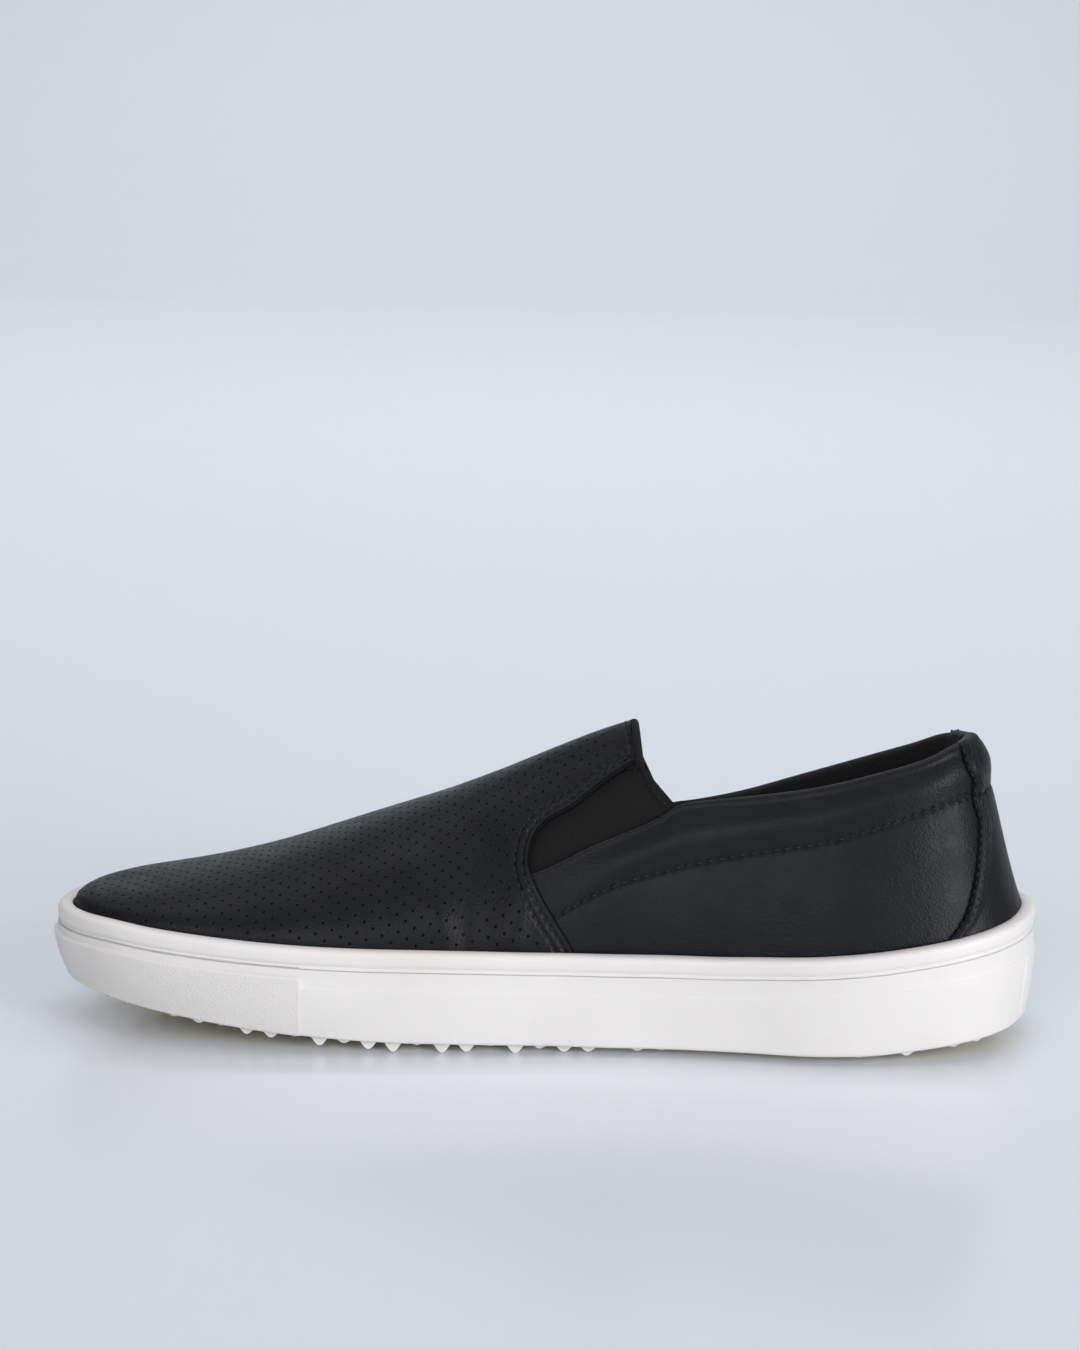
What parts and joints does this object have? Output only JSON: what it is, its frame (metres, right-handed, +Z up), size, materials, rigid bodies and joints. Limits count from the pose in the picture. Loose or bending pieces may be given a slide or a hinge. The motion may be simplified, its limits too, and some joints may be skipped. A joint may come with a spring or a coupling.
{
  "type": "slip-on sneaker",
  "caption": "Slip-on sneaker for the right foot, with a perforated leather vamp, elastic gores, a padded collar and a thick white cupsole.",
  "frame": {"origin": "on the floor, under the middle of the shoe's bounding box", "axes": "+X towards the heel, so the toe points to -X; +Y towards the lateral (outer) side; +Z up"},
  "size_m": [0.3, 0.1067, 0.0942],
  "materials": {
    "white_rubber": "satin moulded",
    "tread_rubber": "matt moulded",
    "black_leather": "smooth satin",
    "black_elastic": "ribbed woven elastic",
    "black_lining": "matt textile"
  },
  "bodies": {
    "root": {"cupsole": "white_rubber", "outsole": "tread_rubber", "insole": "black_lining", "upper": "black_leather", "gore_medial": "black_elastic", "gore_lateral": "black_elastic", "heel_strip": "black_leather", "throat_binding": "black_lining"}
  },
  "joints": []
}
